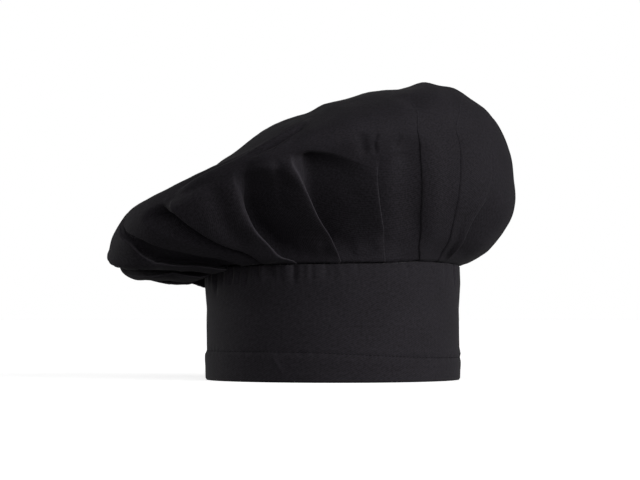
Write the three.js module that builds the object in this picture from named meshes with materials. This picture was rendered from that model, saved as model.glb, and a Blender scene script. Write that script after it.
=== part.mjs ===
import * as THREE from "three";

// A mushroom chef hat in black cotton twill. A stiff band goes round the head, and a wide round
// cloth is pleated into the band's upper edge to make a puffed crown, high at the front of the head
// and hanging down behind it. Millimetres, +Z up, +X to the front of the hat, -Y to the side that shows.

// Driving dimensions, on the outside of the cloth
const headHalfLength = 98;
const headHalfWidth = 85;
const bandHeight = 87;
const clothWall = 1.8;
const hemHeight = 22;
const hemWall = 3.2;
const seamRound = 1.6;
const seamGap = 0.4;

// The crown's cloth goes down inside the band by its seam allowance
const seamAllowance = 10;

// The band's outer face, as steps in or out from its nominal wall: it rounds in at the seam that
// joins the crown, and the turned-up hem stands a little proud under its stitch line
const bandFace = [
  { height: 0, out: -0.9 },
  { height: 1.5, out: 0 },
  { height: 12, out: 0.2 },
  { height: hemHeight - 2, out: 0.3 },
  { height: hemHeight + 3, out: -0.7 },
  { height: 54, out: -1.1 },
  { height: 74, out: 0.4 },
  { height: 83, out: 0.1 },
  { height: bandHeight, out: -seamRound },
];
const bandColumns = 64;

// The crown's rings, one row each. share is how far a ring lies from the seam towards the middle of
// the round cloth. front and back are the ring's two ends in the hat's middle plane, halfWidth its
// reach to each side, and sideZ its height there.
const rings = [
  { share: 0, frontX: 98.4, frontZ: 88.6, backX: -98.4, backZ: 88.2, halfWidth: 85.4, sideZ: 88.6 },
  { share: 0.05, frontX: 108, frontZ: 93, backX: -111, backZ: 80, halfWidth: 90, sideZ: 100 },
  { share: 0.1, frontX: 121, frontZ: 101.5, backX: -128, backZ: 79, halfWidth: 97, sideZ: 113 },
  { share: 0.2, frontX: 137, frontZ: 127, backX: -159, backZ: 84.5, halfWidth: 113, sideZ: 136 },
  { share: 0.3, frontX: 136.5, frontZ: 157, backX: -174, backZ: 96, halfWidth: 125, sideZ: 156 },
  { share: 0.4, frontX: 130, frontZ: 185, backX: -161, backZ: 119, halfWidth: 131, sideZ: 169 },
  { share: 0.5, frontX: 117, frontZ: 209, backX: -138, backZ: 134, halfWidth: 127, sideZ: 180 },
  { share: 0.6, frontX: 93, frontZ: 223, backX: -113, backZ: 147, halfWidth: 112, sideZ: 189 },
  { share: 0.7, frontX: 64, frontZ: 225, backX: -89, backZ: 163, halfWidth: 89, sideZ: 197 },
  { share: 0.8, frontX: 33, frontZ: 218, backX: -65, backZ: 179, halfWidth: 61, sideZ: 201 },
  { share: 0.9, frontX: 5, frontZ: 210, backX: -42, backZ: 193, halfWidth: 31, sideZ: 203 },
  { share: 1, frontX: -20, frontZ: 203, backX: -20, backZ: 203, halfWidth: 0, sideZ: 203 },
];

// Where the crown's mesh has its rows, closer together from the seam to where the pleats run out
const rowShares = [
  0, 0.02, 0.05, 0.085, 0.12, 0.16, 0.2, 0.24, 0.28, 0.32, 0.355, 0.39, 0.425, 0.465, 0.51, 0.58, 0.67, 0.78, 0.89,
];

// The pleats, one row each, round the seam from the front. seam is the pleat's angle in degrees at
// the seam (0 is the front, -90 the side that shows), lean how far its edge has turned where the
// pleat runs out, drop +1 where the cloth falls away on the side of growing angle and -1 on the
// other, depth its fall in millimetres, and reach the share of the cloth at which it has run out.
const pleats = [
  { seam: -190, lean: 6, drop: 1, depth: 12, reach: 0.42 },
  { seam: -172, lean: 2, drop: 1, depth: 7, reach: 0.4 },
  { seam: -155, lean: -6, drop: 1, depth: 8, reach: 0.42 },
  { seam: -139.3, lean: -7, drop: -1, depth: 14, reach: 0.44 },
  { seam: -124.2, lean: -9, drop: -1, depth: 16, reach: 0.42 },
  { seam: -107.2, lean: -5.5, drop: 1, depth: 24, reach: 0.48 },
  { seam: -86.4, lean: -8.5, drop: 1, depth: 22, reach: 0.48 },
  { seam: -65.8, lean: -5.5, drop: 1, depth: 9, reach: 0.52 },
  { seam: -46.8, lean: -10, drop: 1, depth: 5, reach: 0.6 },
  { seam: -26.1, lean: -15, drop: 1, depth: 4, reach: 0.6 },
  { seam: -7, lean: -17, drop: 1, depth: 4, reach: 0.5 },
  { seam: 12, lean: 2, drop: 1, depth: 5, reach: 0.5 },
  { seam: 31, lean: 8, drop: 1, depth: 6, reach: 0.5 },
  { seam: 50, lean: 10, drop: 1, depth: 8, reach: 0.55 },
  { seam: 70, lean: 8, drop: 1, depth: 10, reach: 0.5 },
  { seam: 90, lean: 6, drop: 1, depth: 14, reach: 0.5 },
  { seam: 110, lean: 6, drop: 1, depth: 16, reach: 0.46 },
  { seam: 130, lean: 6, drop: 1, depth: 15, reach: 0.46 },
  { seam: 150, lean: 6, drop: 1, depth: 14, reach: 0.44 },
];

// A pleat's edge is this many degrees wide at the seam and where it runs out. This share of its fall
// is above the smooth crown. By these shares of the cloth it has turned by its whole lean and opened to
// its whole depth, and from this part of its reach its depth fades.
const edgeAtSeam = 0.9;
const edgeAtReach = 6;
const highShare = 0.35;
const turnedBy = 0.3;
const openBy = 0.11;
const fadesFrom = 0.4;

// The panels between pleats puff out between these shares of the cloth
const panelSteps = 4;
const panelPuff = 2.2;
const puffSpan = { from: 0.02, full: 0.15, fading: 0.35, until: 0.75 };

// The cloth hangs lower behind the band on the side that doesn't show
const farSag = { fall: 8, from: 0, full: 0.08, until: 0.34 };

// Soft waves that cross the top of the crown from side to side
const topWave = { length: 64, height: 2.4, crestX: 10, from: 0.42, to: 0.62 };

// A value of the ring table at any share, on a smooth curve through its rows
function ringValue(column, share) {
  const found = rings.findIndex((ring) => ring.share > share);
  const upper = found < 0 ? rings.length - 1 : found;
  const row = (index) => rings[THREE.MathUtils.clamp(index, 0, rings.length - 1)];
  const [before, low, high, after] = [upper - 2, upper - 1, upper, upper + 1].map(row);
  const span = high.share - low.share;
  const slope = (a, b) => ((b[column] - a[column]) / (b.share - a.share)) * span;
  const t = (share - low.share) / span;
  const start = slope(before, high);
  const end = slope(low, after);
  return (
    (2 * t ** 3 - 3 * t ** 2 + 1) * low[column] +
    (t ** 3 - 2 * t ** 2 + t) * start +
    (3 * t ** 2 - 2 * t ** 3) * high[column] +
    (t ** 3 - t ** 2) * end
  );
}

// The crown without its pleats
function smoothCrown(share, angle) {
  const [frontX, frontZ, backX, backZ, halfWidth, sideZ] = [
    "frontX", "frontZ", "backX", "backZ", "halfWidth", "sideZ",
  ].map((column) => ringValue(column, share));
  const turn = THREE.MathUtils.degToRad(angle);
  const middleZ = (frontZ + backZ) / 2;
  const farBack = Math.max(0, Math.sin(turn)) * Math.max(0, -Math.cos(turn)) * 2;
  const sag =
    farSag.fall *
    farBack *
    THREE.MathUtils.smoothstep(share, farSag.from, farSag.full) *
    (1 - THREE.MathUtils.smoothstep(share, farSag.full, farSag.until));
  return new THREE.Vector3(
    (frontX + backX) / 2 + ((frontX - backX) / 2) * Math.cos(turn),
    halfWidth * Math.sin(turn),
    middleZ + ((frontZ - backZ) / 2) * Math.cos(turn) + (sideZ - middleZ) * Math.sin(turn) ** 2 - sag,
  );
}

// The direction straight out of the smooth crown
function outward(share, angle) {
  const step = 0.01;
  const inside = THREE.MathUtils.clamp(share, step, 1 - 2 * step);
  const along = smoothCrown(inside, angle + 1).sub(smoothCrown(inside, angle - 1));
  const up = smoothCrown(inside + step, angle).sub(smoothCrown(inside - step, angle));
  return along.cross(up).normalize();
}

// The mesh columns of one row: two at each pleat's edge and some on each panel between pleats
function rowColumns(share) {
  const edges = pleats.map((pleat) => {
    const angle = pleat.seam + pleat.lean * THREE.MathUtils.smoothstep(share, 0, turnedBy);
    const opening = THREE.MathUtils.smoothstep(share, 0, pleat.reach);
    const width = THREE.MathUtils.lerp(edgeAtSeam, edgeAtReach, opening);
    const fall = THREE.MathUtils.smoothstep(share, fadesFrom * pleat.reach, pleat.reach);
    const depth = pleat.depth * THREE.MathUtils.smoothstep(share, 0, openBy) * (1 - fall);
    const high = depth * highShare;
    const low = high - depth;
    return pleat.drop > 0
      ? { left: angle, leftHeight: high, right: angle + width, rightHeight: low }
      : { left: angle - width, leftHeight: low, right: angle, rightHeight: high };
  });
  const filled = THREE.MathUtils.smoothstep(share, puffSpan.from, puffSpan.full);
  const flattened = THREE.MathUtils.smoothstep(share, puffSpan.fading, puffSpan.until);
  const puff = panelPuff * filled * (1 - flattened);
  const columns = [];
  edges.forEach((edge, index) => {
    const lastOne = index === edges.length - 1;
    const next = lastOne ? edges[0] : edges[index + 1];
    const nextLeft = next.left + (lastOne ? 360 : 0);
    columns.push({ angle: edge.left, height: edge.leftHeight });
    for (let step = 0; step <= panelSteps; step += 1) {
      const part = step / (panelSteps + 1);
      columns.push({
        angle: THREE.MathUtils.lerp(edge.right, nextLeft, part),
        height:
          THREE.MathUtils.lerp(edge.rightHeight, next.leftHeight, THREE.MathUtils.smoothstep(part, 0, 1)) +
          puff * Math.sin(Math.PI * part),
      });
    }
  });
  return columns;
}

function crownRow(share) {
  const onTop = THREE.MathUtils.smoothstep(share, topWave.from, topWave.to);
  return rowColumns(share).map(({ angle, height }) => {
    const point = smoothCrown(share, angle).addScaledVector(outward(share, angle), height);
    point.z += topWave.height * onTop * Math.cos((2 * Math.PI * (point.x - topWave.crestX)) / topWave.length);
    return point;
  });
}

// A level ring inside the band, with the crown's own columns, for the seam allowance
function allowanceRow(height, inset) {
  return rowColumns(0).map(({ angle }) => {
    const turn = THREE.MathUtils.degToRad(angle);
    return new THREE.Vector3(
      (headHalfLength - inset) * Math.cos(turn),
      (headHalfWidth - inset) * Math.sin(turn),
      height,
    );
  });
}

// The same rows moved in by the cloth's thickness, along the normal at each point
function innerRows(rows, wall) {
  const count = rows[0].length;
  return rows.map((row, index) => {
    const below = rows[Math.max(index - 1, 0)];
    const above = rows[Math.min(index + 1, rows.length - 1)];
    return row.map((point, column) => {
      const along = row[(column + 1) % count].clone().sub(row[(column + count - 1) % count]);
      const up = above[column].clone().sub(below[column]);
      return point.clone().addScaledVector(along.cross(up).normalize(), -wall);
    });
  });
}

// A closed skin over rows of points that all have the same count. Each row runs anticlockwise from
// above. The first and last rows join each other, or close on one point each where poles are given.
function skin(rows, poles) {
  const count = rows[0].length;
  const points = rows.flat();
  const triangles = [];
  const rowPairs = poles ? rows.length - 1 : rows.length;
  for (let row = 0; row < rowPairs; row += 1) {
    const next = (row + 1) % rows.length;
    for (let column = 0; column < count; column += 1) {
      const beside = (column + 1) % count;
      const [a, b] = [row * count + column, row * count + beside];
      const [c, d] = [next * count + column, next * count + beside];
      triangles.push(a, b, d, a, d, c);
    }
  }
  if (poles) {
    const first = points.push(poles[0]) - 1;
    const last = points.push(poles[1]) - 1;
    const top = (rows.length - 1) * count;
    for (let column = 0; column < count; column += 1) {
      const beside = (column + 1) % count;
      triangles.push(first, beside, column);
      triangles.push(last, top + column, top + beside);
    }
  }
  const geometry = new THREE.BufferGeometry().setFromPoints(points);
  geometry.setIndex(triangles);
  geometry.computeVertexNormals();
  return geometry;
}

// The band: a tube of cloth, oval like a head, thicker where its lower edge is turned up inside
function makeBand() {
  const ring = (height, inset) =>
    Array.from({ length: bandColumns }, (_, column) => {
      const turn = (2 * Math.PI * column) / bandColumns;
      return new THREE.Vector3(
        (headHalfLength - inset) * Math.cos(turn),
        (headHalfWidth - inset) * Math.sin(turn),
        height,
      );
    });
  const outside = bandFace.map(({ height, out }) => ring(height, -out));
  const inside = [
    ring(bandHeight, seamRound + clothWall),
    ring(bandHeight - seamAllowance, seamRound + clothWall),
    ring(hemHeight + 1, seamRound + clothWall - 0.6),
    ring(hemHeight, hemWall),
    ring(0, hemWall),
  ];
  return skin([...outside, ...inside]);
}

// The crown: one round cloth as a hollow shell, open below where it is sewn into the band
function makeCrown() {
  const inset = seamRound + clothWall + seamGap;
  const outside = [
    allowanceRow(bandHeight - seamAllowance, inset),
    allowanceRow(bandHeight + 0.2, inset),
    ...rowShares.map(crownRow),
  ];
  const inside = innerRows(outside, clothWall).reverse();
  const pole = smoothCrown(1, 0);
  pole.z += topWave.height * Math.cos((2 * Math.PI * (pole.x - topWave.crestX)) / topWave.length);
  const innerPole = pole.clone().add(new THREE.Vector3(0, 0, -clothWall));
  return skin([...inside, ...outside], [innerPole, pole]);
}

const blackTwill = { color: 0x201e23, roughness: 0.9, metalness: 0 };

function named(name, geometry) {
  const mesh = new THREE.Mesh(geometry, new THREE.MeshStandardMaterial(blackTwill));
  mesh.name = name;
  return mesh;
}

const hat = new THREE.Group();
hat.add(named("band", makeBand()), named("crown", makeCrown()));

// The origin is the middle of the underside of the box round the hat
const box = new THREE.Box3().setFromObject(hat);
const middle = box.getCenter(new THREE.Vector3());
hat.position.set(-middle.x, -middle.y, -box.min.z);

export default hat;
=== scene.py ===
# %% [markdown]
# A mushroom chef hat in black cotton twill. The frame holds two solids, the band and the crown. This
# script dresses them: a finely pleated crown cloth, a starched band with puckers and a stitched hem,
# and one twill finish that is crisper on the band and softer on the crown.

# %% Load the frame
import math
import bpy
import numpy as np
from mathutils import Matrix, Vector, noise


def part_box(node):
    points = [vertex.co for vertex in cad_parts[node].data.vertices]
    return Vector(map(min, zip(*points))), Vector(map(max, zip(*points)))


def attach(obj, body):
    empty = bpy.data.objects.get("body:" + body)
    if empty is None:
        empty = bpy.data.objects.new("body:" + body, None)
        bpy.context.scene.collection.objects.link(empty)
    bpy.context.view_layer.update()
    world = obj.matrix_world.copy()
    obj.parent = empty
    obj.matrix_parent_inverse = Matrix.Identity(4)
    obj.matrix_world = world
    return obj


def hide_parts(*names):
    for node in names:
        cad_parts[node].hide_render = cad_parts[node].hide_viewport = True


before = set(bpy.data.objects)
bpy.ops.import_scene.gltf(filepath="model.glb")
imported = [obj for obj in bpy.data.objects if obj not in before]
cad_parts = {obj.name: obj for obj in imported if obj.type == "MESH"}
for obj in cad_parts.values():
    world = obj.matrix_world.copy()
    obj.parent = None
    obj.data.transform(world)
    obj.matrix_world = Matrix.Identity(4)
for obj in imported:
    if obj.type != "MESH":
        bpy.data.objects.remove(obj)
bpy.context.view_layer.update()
print("the frame's solids:", ", ".join(sorted(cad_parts)))

# %% [markdown]
# Everything is worked out in the hat's own millimetres, with x = 0 in the middle of the band and z = 0
# at its rim, and is then moved to the place that the band has in the frame. The band is 196 mm long
# and 170 mm deep, for a head of 57 to 58 cm.

# %% The band's place and size
MM = 0.001
HEAD_HALF_LENGTH = 98.0
HEAD_HALF_WIDTH = 85.0
band_low, band_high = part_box("band")
BAND_MIDDLE = (band_low.x + band_high.x) / 2
BAND_HEIGHT = (band_high.z - band_low.z) / MM
print("band, mm:", [round(v / MM, 1) for v in band_high - band_low])


def in_metres(points):
    """Points in the hat's millimetres as points in the frame, in metres."""
    return np.array(points) * MM + np.array([BAND_MIDDLE, 0, band_low.z])


# %% [markdown]
# Two small helpers for soft transitions. smooth goes from 0 to 1 between two values without a kink,
# and bump is 1 at no distance and falls away on both sides, as a crease or a ridge does.

# %% Soft steps and bumps
def smooth(value, start, end):
    t = np.clip((value - start) / (end - start), 0.0, 1.0)
    return t * t * (3.0 - 2.0 * t)


def bump(distance, width):
    return np.exp(-((distance / width) ** 2))


print("smooth between 0 and 4, at 1, 2 and 3:", [round(float(smooth(value, 0, 4)), 2) for value in (1, 2, 3)])

# %% [markdown]
# Folds and outlines are drawn with cubic curves. Such a curve is given by its two ends and by its way
# there: the direction in which it leaves one end and arrives at the other. curve_through joins cubic
# curves into one smooth curve through all rows of a table.

# %% Smooth curves
def cubic(t, start, start_way, end, end_way):
    """The place on the curve from start to end, for t from 0 to 1."""
    return (
        (2 * t**3 - 3 * t**2 + 1) * start + (t**3 - 2 * t**2 + t) * start_way
        + (3 * t**2 - 2 * t**3) * end + (t**3 - t**2) * end_way
    )


def curve_through(marks, values, at):
    """Values at any place, on a smooth curve through a table's rows; marks are the rows' places."""
    last = len(marks) - 1
    high = np.clip(np.searchsorted(marks, at, side="right"), 1, last)
    low = high - 1
    before = np.clip(low - 1, 0, last)
    after = np.clip(high + 1, 0, last)
    span = (marks[high] - marks[low])[..., None]
    t = ((at - marks[low]) / (marks[high] - marks[low]))[..., None]
    start_way = (values[high] - values[before]) / (marks[high] - marks[before])[..., None] * span
    end_way = (values[after] - values[low]) / (marks[after] - marks[low])[..., None] * span
    return cubic(t, values[low], start_way, values[high], end_way)


# %% [markdown]
# The crown is one round cloth, 0.58 m across. Its edge is pleated down to the length of the band
# and its middle lies on top. A cloth simulation could drop it there, but it would choose the shape and
# the pleats itself. Here both have to be those of one real hat, so the crown is drawn by rings: share
# is how far a ring lies from the seam (0) towards the cloth's middle (1), and each row gives the ring's
# two ends in the hat's middle plane, its reach to the sides, and its height there. A smooth curve joins
# the rows, and the far side sags a little more behind.

# %% The crown's rings
# In millimetres: share, front_x, front_z, back_x, back_z, half_width, side_z
RINGS = np.array([
    (0.0, 98.4, 88.4, -98.4, 88.1, 85.4, 88.4),
    (0.05, 108, 93, -110, 76.5, 90, 100),
    (0.1, 121, 101.5, -127, 77.5, 97, 113),
    (0.2, 137.5, 127, -160, 82, 113, 136),
    (0.3, 138, 157, -170, 97.5, 125, 156),
    (0.4, 131.8, 185, -161, 123, 131, 169),
    (0.5, 117.5, 208.5, -139, 137.5, 127, 180),
    (0.6, 93, 223, -113, 147, 112, 189),
    (0.7, 64, 225, -89, 163, 89, 197),
    (0.8, 33, 218, -65, 179, 61, 201),
    (0.9, 5, 210, -42, 193, 31, 203),
    (1.0, -20, 203, -20, 203, 0, 203),
])
FAR_SAG = dict(depth=8.0, deepest=0.08, end=0.34)


def smooth_crown(share, angle):
    """Points of the crown without its pleats. The angle is in degrees, 0 at the front."""
    rings = curve_through(RINGS[:, 0], RINGS[:, 1:], share)
    front_x, front_z, back_x, back_z, half_width, side_z = np.moveaxis(rings, -1, 0)
    turn = np.radians(angle)
    middle_z = (front_z + back_z) / 2
    far_back = 2 * np.maximum(0, np.sin(turn)) * np.maximum(0, -np.cos(turn))
    sag = FAR_SAG["depth"] * far_back * smooth(share, 0, FAR_SAG["deepest"])
    sag = sag * (1 - smooth(share, FAR_SAG["deepest"], FAR_SAG["end"]))
    x = (front_x + back_x) / 2 + (front_x - back_x) / 2 * np.cos(turn)
    z = middle_z + (front_z - back_z) / 2 * np.cos(turn) + (side_z - middle_z) * np.sin(turn) ** 2
    return np.stack([x, half_width * np.sin(turn), z - sag], -1)


sampled = smooth_crown(*np.meshgrid(np.linspace(0, 1, 50), np.arange(360)))
print("the crown without its pleats, mm:", np.ptp(sampled.reshape(-1, 3), axis=0).round(1))

# %% [markdown]
# Folds and creases rise straight out of the crown. That direction is square to two short steps on the
# surface, one round the hat and one up it. It keeps a little away from the seam and from the middle,
# where a step would leave the surface.

# %% The way out of the crown
SHARE_STEP = 0.01
OUTWARD_SHARES = (0.01, 0.98)


def outward(share, angle):
    """The direction straight out of the smooth crown."""
    inside = np.clip(share, *OUTWARD_SHARES)
    along = smooth_crown(inside, angle + 1) - smooth_crown(inside, angle - 1)
    up = smooth_crown(inside + SHARE_STEP, angle) - smooth_crown(inside - SHARE_STEP, angle)
    normal = np.cross(along, up)
    return normal / np.linalg.norm(normal, axis=-1, keepdims=True)


print("straight out at the front of the crown:", outward(np.array(0.3), 0.0).round(2))

# %% [markdown]
# A knife pleat is cloth folded over itself: it runs to a tip, turns back underneath, turns again and
# goes on as the next panel. Near the seam the fold lies flat, higher up it opens, and where the cloth
# runs out of spare width it is gone. One row describes each pleat: whether it falls to the side of
# growing angle (1) or of shrinking angle (-1), how deep the fall is, how much cloth is tucked under,
# how round its tip is low down and high up, the part of its reach where its depth starts to go, the
# reach, which is the share at which it has run out, how much of the panel beside it the hollow takes
# up low down and high up, and the number of mesh columns in the panel after it.

# %% The pleats
PLEAT_COLUMNS = (
    "drop", "depth", "tuck", "round_low", "round_high", "fade", "reach", "wide_low", "wide_high", "steps",
)
PLEATS = [dict(zip(PLEAT_COLUMNS, row)) for row in [
    (1, 8, 8, 0.8, 2.0, 0.40, 0.24, 0.6, 0.4, 8),
    (1, 9, 7, 0.8, 2.0, 0.50, 0.26, 0.6, 0.4, 9),
    (1, 7, 6, 0.6, 1.4, 0.70, 0.40, 0.6, 0.4, 11),
    (-1, 8.5, 9, 0.6, 1.2, 0.72, 0.45, 0.6, 0.4, 9),
    (-1, 17, 9, 0.6, 1.2, 0.86, 0.36, 0.5, 0.35, 12),
    (1, 18, 8, 1.0, 3.8, 0.38, 0.42, 1.0, 0.36, 18),
    (1, 15, 9, 0.5, 1.4, 0.85, 0.38, 1.0, 0.12, 18),
    (1, 3, 0.5, 0.5, 0.9, 0.30, 0.34, 1.0, 1.0, 16),
    (-1, 0.9, -0.3, 0.3, 0.4, 0.50, 0.64, 1.0, 1.0, 12),
    (-1, 0.8, -0.6, 0.3, 0.4, 0.60, 0.60, 1.0, 1.0, 8),
    (1, 8, 3, 0.6, 1.2, 0.30, 0.25, 0.5, 0.35, 12),
    (1, 4, 11, 0.6, 0.9, 0.40, 0.55, 1.0, 1.0, 8),
    (1, 5, 11, 0.6, 1.0, 0.40, 0.55, 1.0, 1.0, 8),
    (1, 8, 10, 0.7, 1.4, 0.40, 0.55, 1.0, 0.4, 8),
    (1, 11, 9, 0.8, 2.0, 0.45, 0.52, 1.0, 0.4, 9),
    (1, 15, 9, 0.9, 3.0, 0.50, 0.50, 1.0, 0.4, 9),
    (1, 17, 9, 1.0, 3.0, 0.50, 0.48, 1.0, 0.4, 9),
    (1, 15, 9, 1.0, 3.0, 0.50, 0.46, 1.0, 0.4, 9),
    (1, 14, 9, 1.0, 3.0, 0.45, 0.44, 1.0, 0.4, 12),
]]
print(len(PLEATS), "pleats, the deepest", max(pleat["depth"] for pleat in PLEATS), "mm")

# %% [markdown]
# A pleat doesn't run straight up: gravity pulls it aside, and the next one leans on it. So its tip has
# an angle at each of several heights, again one row a pleat, with a smooth curve through the row.

# %% Where the pleats run
TIP_SHARES = np.array([0.0, 0.05, 0.12, 0.2, 0.27, 0.34, 0.42, 0.56])
TIPS = np.array([
    (-164, -176, -189, -196, -196, -197, -199, -202),
    (-153, -152, -162, -181, -183, -184, -188, -193),
    (-143, -138, -147.6, -149, -151, -159.8, -172, -184),
    (-134, -129, -135.4, -139.8, -145.2, -154.6, -162.5, -166),
    (-121.5, -118.8, -123.6, -125.1, -127.9, -131.6, -132, -131),
    (-106, -110.2, -111.6, -110, -109.6, -111.3, -112.5, -113),
    (-86.9, -88.9, -91.8, -92.4, -93.4, -95.2, -96.6, -97),
    (-67.4, -70, -72.4, -73.2, -72.8, -72.4, -71.4, -70),
    (-49.6, -54, -58, -59.5, -59.4, -59.2, -59, -54),
    (-37, -40, -44.4, -46.1, -45.4, -44.5, -43.6, -29),
    (-30, -34, -37, -34.5, -31.5, -29, -25, -21),
    (10, 4, -2, -4, -5.4, -6, -6, -6),
    (30, 27, 24, 22, 21, 21, 21, 21),
    (50, 50, 50, 50, 50, 50, 50, 50),
    (70, 72, 75, 76, 77, 77, 77, 77),
    (90, 92, 95, 96, 96, 96, 96, 96),
    (110, 112, 115, 116, 116, 116, 116, 116),
    (130, 132, 134, 134, 134, 134, 134, 134),
    (150, 150, 150, 149, 149, 149, 149, 149),
], float).T
print("space between tips at the seam, degrees:", np.diff(TIPS[0]).min(), "to", np.diff(TIPS[0]).max())

# %% [markdown]
# One row of the crown's mesh is a closed line round the hat. For each pleat it has the rounded tip,
# the tucked return, the turn at the bottom, and then the panel up to the next pleat. All rows have the
# same number of points, so that neighbouring rows join into a net of quads. A fold is three cubic
# curves between four corners: where the cloth comes in, the tip, the turn, and where it goes on.

# %% One fold
# At the seam a fold lies flat, LAYERED mm deep and SEAM_PROUD mm up, and from the share OPEN_BY it is
# at its full depth, with HIGH_PART of the depth above the smooth crown and the rest below it.
LAYERED = 1.6
SEAM_PROUD = 0.25
OPEN_BY = 0.06
HIGH_PART = 0.35
# The tuck starts to run out at a share, or in a shallow pleat at a part of its reach. Once it has, the
# turn lies beside the tip, by some mm and a part of the depth.
DEEP_PLEAT = 6.0
UNTUCK_SHARE = 0.1
UNTUCK_PART = 0.6
OPEN_TURN = (2.0, 0.5)
# Radii in mm: the tip's grows between two shares, and both stay within parts of the depth.
ROUNDING = (0.08, 0.32)
TIP = dict(least=0.25, part=0.35, least_depth=0.8)
FOOT = dict(part=0.22, least=0.2, most=5.0, stretch=1.6)
LEAD = (1.5, 2.0)
# A cubic whose ways are 1.66 radii long is close to a quarter of a circle.
QUARTER_TURN = 1.66
MIDDLE_PULL = 0.9
# A folded edge is painted paler over a few mesh steps: partly rubbed cotton, partly a painted highlight.
# It is painted less where the tip is rounder than this radius, in mm.
EDGE_MARK_ROUND = 0.9
EDGE_MARK_STEPS = 1.2
FOLD_STEPS = (3, 6, 3)


def fold_line(pleat, share):
    """Rows of (place along the row in mm from the tip, height in mm, nearness to the folded edge)."""
    opened = smooth(share, 0, OPEN_BY)
    gone = smooth(share, pleat["fade"] * pleat["reach"], pleat["reach"])
    layered = min(LAYERED, pleat["depth"])
    depth = (layered + (pleat["depth"] - layered) * opened) * (1 - gone)
    high = HIGH_PART * depth + SEAM_PROUD * (1 - opened)
    low = high - depth
    untuck_from = UNTUCK_SHARE if pleat["depth"] > DEEP_PLEAT else UNTUCK_PART * pleat["reach"]
    untucked = smooth(share, untuck_from, pleat["reach"])
    turn_at = -pleat["tuck"] * (1 - untucked) + (OPEN_TURN[0] + OPEN_TURN[1] * pleat["depth"]) * untucked
    rounded = pleat["round_low"] + (pleat["round_high"] - pleat["round_low"]) * smooth(share, *ROUNDING)
    tip = np.clip(rounded, TIP["least"], TIP["part"] * max(depth, TIP["least_depth"]))
    foot = np.clip(FOOT["part"] * depth, FOOT["least"], FOOT["most"])
    lead = LEAD[0] * tip + LEAD[1] * gone
    tip_fall, foot_fall = tip * (1 - gone), foot * (1 - gone)
    goes_on = turn_at + FOOT["stretch"] * foot
    corners = [(-lead, high), (0.0, high - tip_fall), (turn_at, low + foot_fall), (goes_on, low)]
    pull = max(0.0, MIDDLE_PULL * (depth - tip - foot)) * untucked
    over_tip, over_foot = -QUARTER_TURN * tip_fall, -QUARTER_TURN * foot_fall
    ways_out = [(QUARTER_TURN * lead, 0.0), (0.0, over_tip - pull), (0.0, over_foot)]
    ways_in = [(0.0, over_tip), (0.0, over_foot - pull), (QUARTER_TURN * FOOT["stretch"] * foot, 0.0)]
    parts = [
        cubic(np.linspace(0, 1, steps, endpoint=False)[:, None], *np.array([start, way_out, end, way_in]))
        for start, way_out, end, way_in, steps in zip(corners[:3], ways_out, corners[1:], ways_in, FOLD_STEPS)
    ]
    # Nearness to the folded edge, painted paler in the finish: partly rubbed cotton, partly a painted
    # highlight.
    sharp = min(1.0, EDGE_MARK_ROUND / rounded) * (1 - gone)
    edge = bump(np.arange(sum(FOLD_STEPS) + 1) - FOLD_STEPS[0], EDGE_MARK_STEPS) * sharp
    return np.column_stack([np.vstack([*parts, [corners[3]]]), edge])


print("points in one fold:", len(fold_line(PLEATS[0], 0.1)))

# %% [markdown]
# Between two folds the panel rises from the foot of one to the tip of the next. Beside a shallow pleat
# it lies flat first and rises near the tip. Beside a deep one it rises from the start, and most often
# sooner towards the top, where the hollow narrows to a point beside the fold that makes it.

# %% A whole row, with the panels between the folds
FLAT_PART = 0.35
STRAIGHT = 0.6
NARROWS_FROM = 0.6
# The rings get shorter above this share, and a fold then keeps its width in degrees.
WIDEST_SHARE = 0.45


def panel_rise(t, pleat, share):
    """From 0 at the foot of a pleat to 1 at the next one's tip; t is 0 at the foot."""
    if pleat["depth"] < DEEP_PLEAT:
        return smooth(t, FLAT_PART, 1)
    upper = smooth(share, NARROWS_FROM * pleat["reach"], pleat["reach"])
    width = pleat["wide_low"] + (pleat["wide_high"] - pleat["wide_low"]) * upper
    return STRAIGHT * np.clip(t / width, 0, 1) + (1 - STRAIGHT) * smooth(t, 0, width)


def placed_fold(pleat, tip_angle, share):
    """A fold's line with angles in place of millimetres, in the order of growing angle."""
    wide = np.array(min(share, WIDEST_SHARE))
    degree = smooth_crown(wide, tip_angle + 0.5) - smooth_crown(wide, tip_angle - 0.5)
    line = fold_line(pleat, share)
    line[:, 0] = tip_angle + pleat["drop"] * line[:, 0] / np.linalg.norm(degree)
    return line[::pleat["drop"]]


def crown_row(share):
    """Rows of (angle in degrees, height in mm, nearness to a folded edge) round the whole crown."""
    tip_angles = curve_through(TIP_SHARES, TIPS, np.array(share))
    folds = [placed_fold(pleat, tip_angle, share) for pleat, tip_angle in zip(PLEATS, tip_angles)]
    row = []
    for index, fold in enumerate(folds):
        after = (index + 1) % len(folds)
        t = np.linspace(0, 1, PLEATS[index]["steps"] + 2)[1:-1]
        if PLEATS[index]["drop"] > 0:
            rise = panel_rise(t, PLEATS[index], share)
        else:
            rise = 1 - panel_rise(1 - t, PLEATS[after], share)
        (start_angle, start_height), (end_angle, end_height) = fold[-1][:2], folds[after][0][:2]
        if after == 0:
            end_angle = end_angle + 360
        angles = start_angle + (end_angle - start_angle) * t
        heights = start_height + (end_height - start_height) * rise
        row += [fold, np.stack([angles, heights, 0 * t], -1)]
    return np.vstack(row)


print("points in one row:", len(crown_row(0.1)))

# %% [markdown]
# Cloth also has ridges and hollows that aren't pleats: where the top sags behind the near pleats, where
# a panel bends, and the short sharp creases that storing leaves. They could be sculpted by hand, but a
# script can repeat lines from a table. Each is a line on the crown, given by the angle and share of its
# points, with a height (below zero for a hollow) and a half width in mm.

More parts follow.
